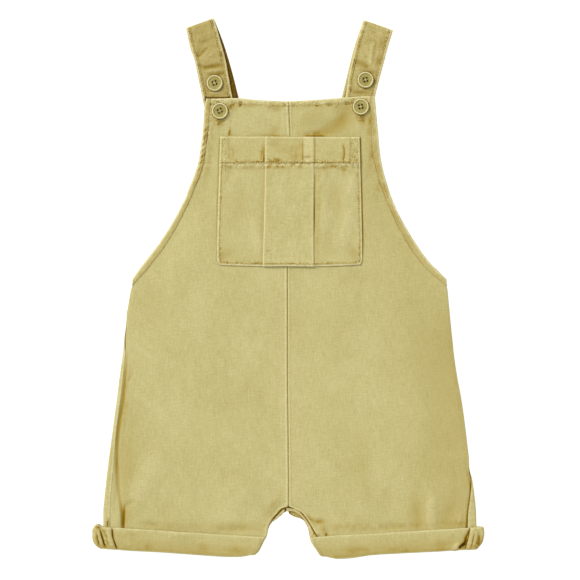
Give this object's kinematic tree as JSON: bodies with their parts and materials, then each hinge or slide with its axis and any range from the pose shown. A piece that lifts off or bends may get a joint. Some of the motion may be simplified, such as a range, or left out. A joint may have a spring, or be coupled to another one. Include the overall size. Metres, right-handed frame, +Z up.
{
  "type": "child's dungarees",
  "caption": "Short bib-front dungarees laid flat, with buttoned shoulder straps, a pleated patch pocket on the bib and turned-up leg hems.",
  "frame": {"origin": "centre of the garment's outline, on the surface that it lies on", "axes": "+Y up the garment from the leg hems to the shoulder folds, +Z up from the surface to the front, +X towards the wearer's left"},
  "size_m": [0.3916, 0.5406, 0.0093],
  "materials": {
    "body_cloth": "matt plain weave of cotton and linen, garment dyed",
    "hem_cloth": "matt plain weave of cotton and linen, turned, stitched and worn paler along its edges",
    "strap_cloth": "matt plain weave of cotton and linen in several layers, edge stitched",
    "button": "glossy moulded plastic, tone on tone with the cloth",
    "thread": "matt sewing thread, tone on tone with the cloth"
  },
  "bodies": {
    "root": {"armhole_hem_left": "hem_cloth", "armhole_hem_right": "hem_cloth", "back_left": "body_cloth", "back_right": "body_cloth", "button_lower_left": "button", "button_lower_right": "button", "button_upper_left": "button", "button_upper_right": "button", "cuff_back_left": "hem_cloth", "cuff_back_right": "hem_cloth", "cuff_front_left": "hem_cloth", "cuff_front_right": "hem_cloth", "front_left": "body_cloth", "front_right": "body_cloth", "inseam_band_left": "hem_cloth", "inseam_band_right": "hem_cloth", "pocket": "body_cloth", "pocket_hem": "hem_cloth", "pocket_pleat": "body_cloth", "strap_left": "strap_cloth", "strap_right": "strap_cloth"}
  },
  "joints": []
}
